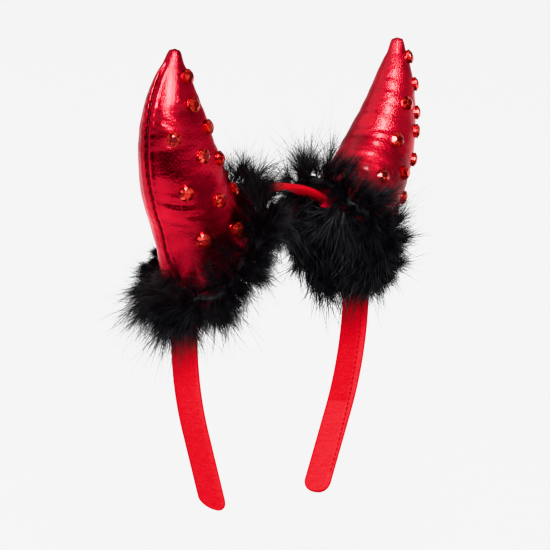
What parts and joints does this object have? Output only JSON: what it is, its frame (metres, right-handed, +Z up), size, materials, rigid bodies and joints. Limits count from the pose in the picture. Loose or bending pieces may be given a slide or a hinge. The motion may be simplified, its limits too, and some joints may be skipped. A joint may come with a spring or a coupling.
{
  "type": "horned headband",
  "caption": "Narrow fabric-wrapped headband with a pair of curved stuffed horns, cut stones on their fronts and feather trim round their feet.",
  "frame": {"origin": "on the inner face of the band, at the middle of its top, where it sits on the head", "axes": "+X to the wearer's left, -Y to the front, +Z up through the top of the head"},
  "size_m": [0.1938, 0.0778, 0.194],
  "materials": {
    "red_cloth": "matt wrapped cloth with a fine nap",
    "red_lame": "metallic coated sheet with a fine leather grain",
    "red_stone": "polished cut stone",
    "black_feather": "soft down feather"
  },
  "bodies": {
    "root": {"band": "red_cloth", "horn_right": "red_lame", "horn_left": "red_lame", "marabou_right": "black_feather", "marabou_left": "black_feather", "stone_right_01": "red_stone", "stone_right_02": "red_stone", "stone_right_03": "red_stone", "stone_right_04": "red_stone", "stone_right_05": "red_stone", "stone_right_06": "red_stone", "stone_right_07": "red_stone", "stone_right_08": "red_stone", "stone_right_09": "red_stone", "stone_right_10": "red_stone", "stone_right_11": "red_stone", "stone_left_01": "red_stone", "stone_left_02": "red_stone", "stone_left_03": "red_stone", "stone_left_04": "red_stone", "stone_left_05": "red_stone", "stone_left_06": "red_stone", "stone_left_07": "red_stone", "stone_left_08": "red_stone", "stone_left_09": "red_stone", "stone_left_10": "red_stone"}
  },
  "joints": []
}
